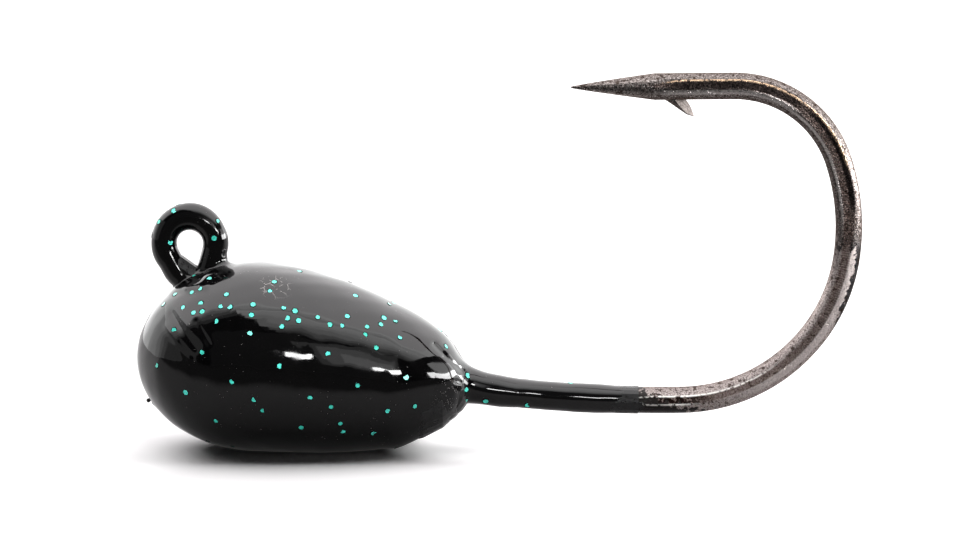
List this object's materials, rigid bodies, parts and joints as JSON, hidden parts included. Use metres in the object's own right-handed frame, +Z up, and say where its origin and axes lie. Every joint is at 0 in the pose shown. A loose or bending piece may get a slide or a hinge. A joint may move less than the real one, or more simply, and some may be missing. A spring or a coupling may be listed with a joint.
{
  "type": "jig head",
  "caption": "Teardrop jig head: a coated tungsten weight fixed on a forged hook with an upright line eye, a round bend and a barbed point.",
  "frame": {"origin": "on the flat of the belly, under the middle of the weight", "axes": "+Z up from the belly; +X from the nose towards the hook's bend; Y across the hook's plane"},
  "size_m": [0.0242, 0.0062, 0.0127],
  "materials": {
    "hook_steel": "forged wire, dark plating worn through to bare grey metal with brown specks",
    "tungsten": "matt grey, sintered",
    "filler": "dull silver-bronze filler",
    "base_coat": "black baked coat",
    "clear_coat": "high gloss clear coat over black with teal-green glitter flakes",
    "glitter_foil": "teal-green metallic foil"
  },
  "bodies": {
    "root": {"hook": "hook_steel", "tungsten_weight": "tungsten", "braze_filler": "filler", "base_coat": "base_coat", "clear_coat": "clear_coat", "flake_01": "glitter_foil", "flake_02": "glitter_foil", "flake_03": "glitter_foil", "flake_04": "glitter_foil", "flake_05": "glitter_foil", "flake_06": "glitter_foil", "flake_07": "glitter_foil", "flake_08": "glitter_foil", "flake_09": "glitter_foil", "flake_10": "glitter_foil", "flake_11": "glitter_foil", "flake_12": "glitter_foil", "flake_13": "glitter_foil", "flake_14": "glitter_foil", "flake_15": "glitter_foil", "flake_16": "glitter_foil", "flake_17": "glitter_foil", "flake_18": "glitter_foil", "flake_19": "glitter_foil", "flake_20": "glitter_foil", "flake_21": "glitter_foil", "flake_22": "glitter_foil", "flake_23": "glitter_foil", "flake_24": "glitter_foil", "flake_25": "glitter_foil", "flake_26": "glitter_foil", "flake_27": "glitter_foil", "flake_28": "glitter_foil", "flake_29": "glitter_foil", "flake_30": "glitter_foil", "flake_31": "glitter_foil", "flake_32": "glitter_foil", "flake_33": "glitter_foil", "flake_34": "glitter_foil", "flake_35": "glitter_foil", "flake_36": "glitter_foil", "flake_37": "glitter_foil", "flake_38": "glitter_foil", "flake_39": "glitter_foil", "flake_40": "glitter_foil", "flake_41": "glitter_foil", "flake_42": "glitter_foil", "flake_43": "glitter_foil", "flake_44": "glitter_foil"}
  },
  "joints": []
}
